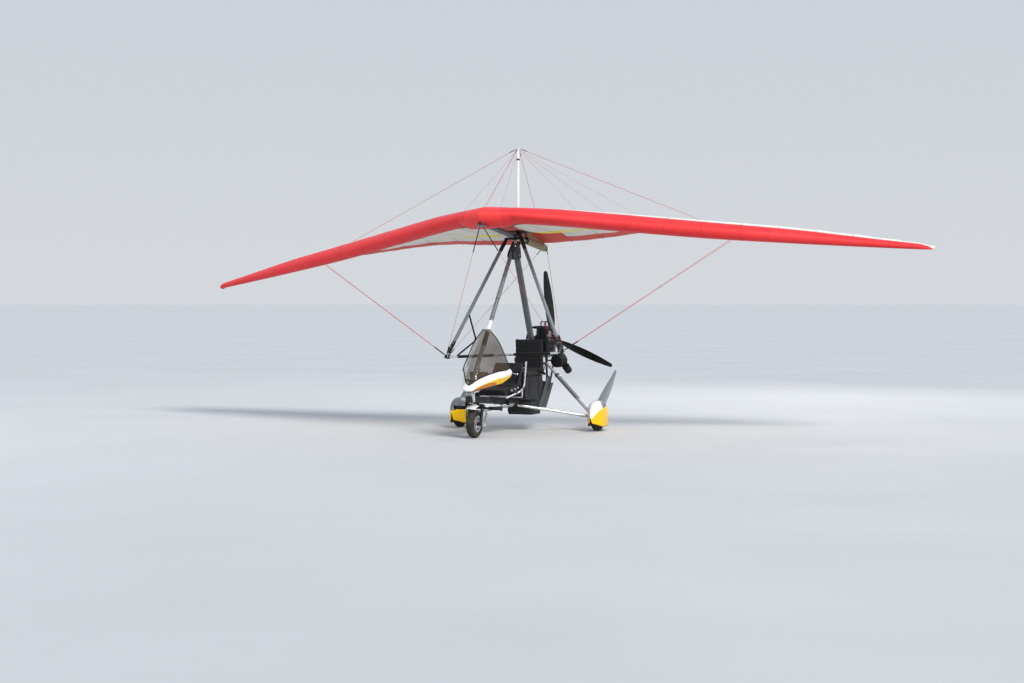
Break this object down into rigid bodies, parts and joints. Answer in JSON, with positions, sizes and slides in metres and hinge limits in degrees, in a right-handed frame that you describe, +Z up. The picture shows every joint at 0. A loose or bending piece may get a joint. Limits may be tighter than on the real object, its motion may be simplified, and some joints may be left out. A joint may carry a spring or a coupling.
{
  "type": "microlight trike",
  "caption": "Flexwing microlight with a kingposted double-surface wing over an open tandem trike, pusher propeller, pod, windscreen and faired main wheels.",
  "frame": {"origin": "bottom centre of the bounding box, on the ground plane in the trike's centre plane", "axes": "+X along the span to the pilot's left, +Y aft towards the propeller, +Z up"},
  "size_m": [9.7086, 3.0743, 3.49],
  "materials": {
    "tube_alloy": "satin, anodised",
    "steel_dark": "satin",
    "wire_red": "sleeved wire",
    "tyre_black": "matt",
    "rim_silver": "satin",
    "fairing_paint": "gloss",
    "screen_tint": "clear, brown tint",
    "plastic_black": "matt",
    "seat_cloth": "woven",
    "engine_alloy": "dark, satin",
    "radiator_grey": "matt",
    "exhaust_steel": "heat-tinted",
    "blade_composite": "satin",
    "hub_alloy": "machined",
    "sail_cloth": "crisp sailcloth",
    "pocket_cloth": "sailcloth"
  },
  "bodies": {
    "trike": {"keel_beam": "tube_alloy", "mast": "tube_alloy", "front_strut": "tube_alloy", "mast_head": "tube_alloy", "gear_arms": "tube_alloy", "stub_axles": "tube_alloy", "left_spat": "fairing_paint", "right_spat": "fairing_paint", "pod": "fairing_paint", "windscreen": "screen_tint", "pod_bracket": "tube_alloy", "instrument_panel": "plastic_black", "seat_frame": "tube_alloy", "front_seat": "seat_cloth", "rear_seat": "seat_cloth", "fuel_tank": "plastic_black", "belly_box": "plastic_black", "engine_mount": "tube_alloy", "engine": "engine_alloy", "gearbox": "engine_alloy", "radiator": "radiator_grey", "intake_silencer": "plastic_black", "exhaust": "exhaust_steel"},
    "fork": {"fork": "steel_dark", "front_mudguard": "fairing_paint"},
    "front_wheel": {"front_tyre": "tyre_black", "front_rim": "rim_silver"},
    "left_wheel": {"left_tyre": "tyre_black", "left_rim": "rim_silver"},
    "right_wheel": {"right_tyre": "tyre_black", "right_rim": "rim_silver"},
    "propeller": {"propeller_blades": "blade_composite", "propeller_hub": "hub_alloy"},
    "hang_bracket": {"hang_bracket": "tube_alloy"},
    "wing": {"keel_tube": "tube_alloy", "sail": "sail_cloth", "keel_pocket": "pocket_cloth", "kingpost": "tube_alloy", "cross_bar": "tube_alloy", "uprights": "tube_alloy", "base_bar": "tube_alloy", "bar_corners": "tube_alloy", "training_bars": "tube_alloy", "lower_wires": "wire_red", "upper_wires": "wire_red"}
  },
  "joints": [
    {"name": "steering", "type": "hinge", "parent": "trike", "child": "fork", "pos_m": [0, -1.25718, 0.4761], "axis": [0, 0.2588, 0.9659], "range_deg": [-28, 28]},
    {"name": "front_wheel_spin", "type": "hinge", "parent": "fork", "child": "front_wheel", "pos_m": [0, -1.34, 0.167], "axis": [1, 0, 0], "continuous": true},
    {"name": "left_wheel_spin", "type": "hinge", "parent": "trike", "child": "left_wheel", "pos_m": [0.924, 0.35, 0.167], "axis": [1, 0, 0], "continuous": true},
    {"name": "right_wheel_spin", "type": "hinge", "parent": "trike", "child": "right_wheel", "pos_m": [-0.924, 0.35, 0.167], "axis": [1, 0, 0], "continuous": true},
    {"name": "propeller_spin", "type": "hinge", "parent": "trike", "child": "propeller", "pos_m": [0, 1.226, 1.112], "axis": [0, 1, 0], "continuous": true},
    {"name": "wing_pitch", "type": "hinge", "parent": "trike", "child": "hang_bracket", "pos_m": [0, -0.038, 2.308], "axis": [1, 0, 0], "range_deg": [-12, 9]},
    {"name": "wing_roll", "type": "hinge", "parent": "hang_bracket", "child": "wing", "pos_m": [0, -0.02899, 2.38246], "axis": [0, 0.9928, -0.1201], "range_deg": [-11, 16]}
  ]
}
